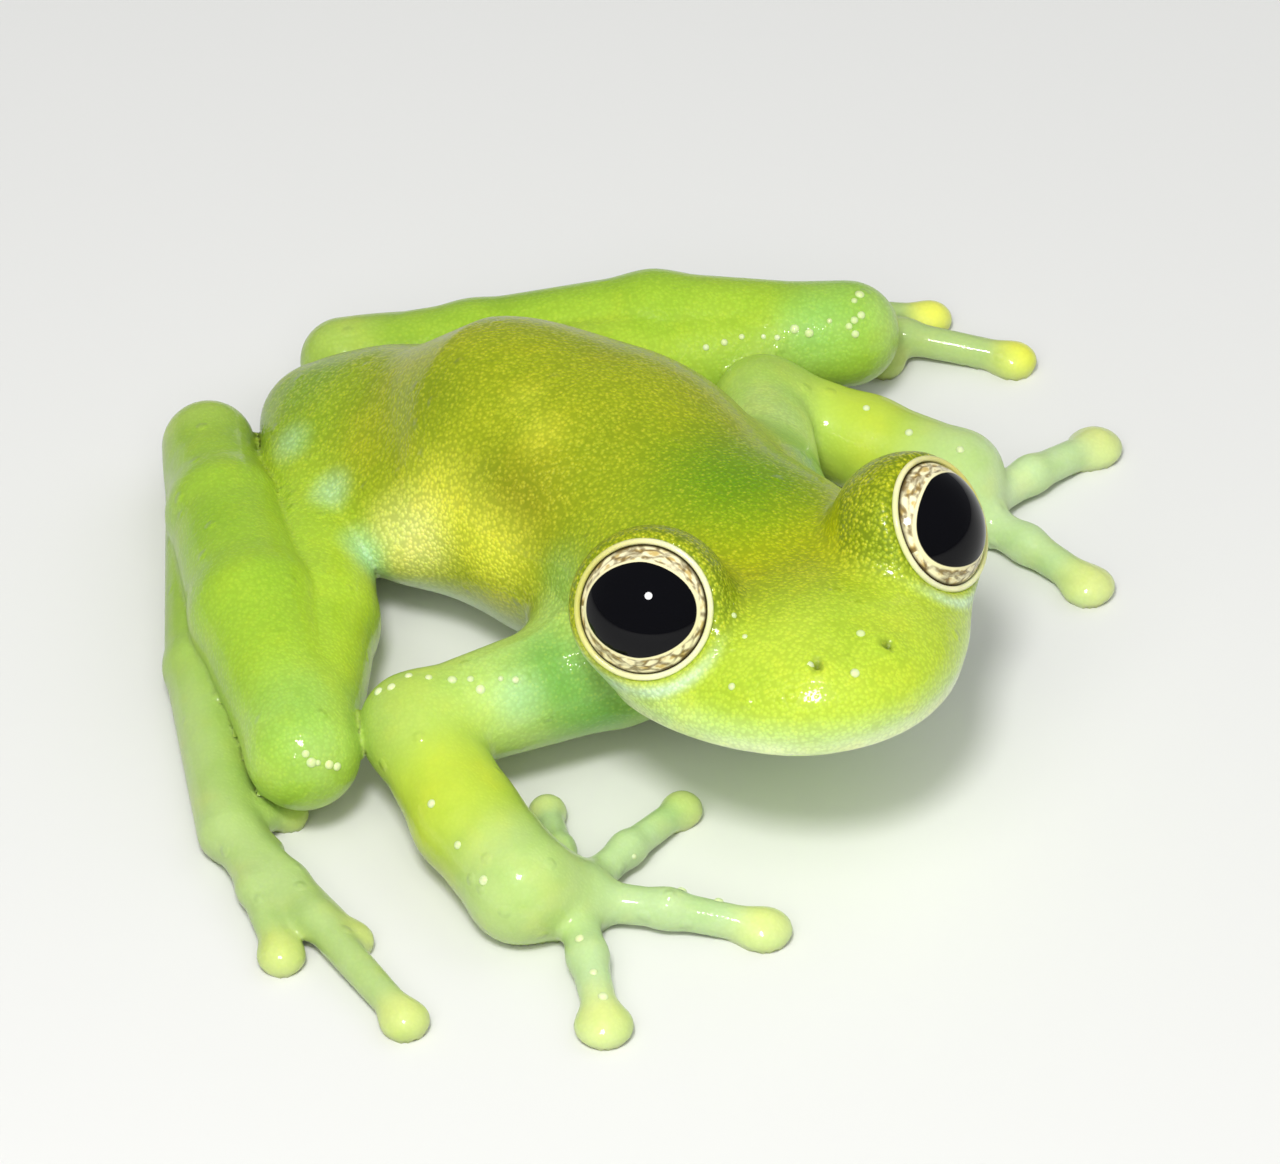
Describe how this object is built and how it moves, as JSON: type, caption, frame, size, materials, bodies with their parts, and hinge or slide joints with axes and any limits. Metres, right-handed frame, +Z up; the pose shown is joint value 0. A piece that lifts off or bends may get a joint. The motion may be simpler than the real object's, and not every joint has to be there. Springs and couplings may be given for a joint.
{
  "type": "glass frog figure",
  "caption": "Life-size glass frog crouched on the floor, legs folded, arms spread, head turned to its right, large round eyes",
  "frame": {"origin": "on the floor under the middle of the bounding box", "axes": "+Z up, -Y ahead along the body, +X to the frog's left"},
  "size_m": [0.0284, 0.0222, 0.0081],
  "materials": {
    "skin": "moist granular skin, lime green",
    "pale_skin": "moist smooth skin, pale mint",
    "eye": "clear wet eyeball, black pupil in a cream iris"
  },
  "bodies": {
    "root": {"torso": "skin", "head": "skin", "eye_left": "eye", "eye_right": "eye", "thigh_left": "skin", "thigh_right": "skin", "shank_left": "skin", "shank_right": "skin", "tarsus_left": "skin", "tarsus_right": "skin", "foot_left": "pale_skin", "foot_right": "pale_skin", "upper_arm_left": "skin", "upper_arm_right": "skin", "forearm_left": "skin", "forearm_right": "skin", "hand_left": "pale_skin", "hand_right": "pale_skin"}
  },
  "joints": []
}
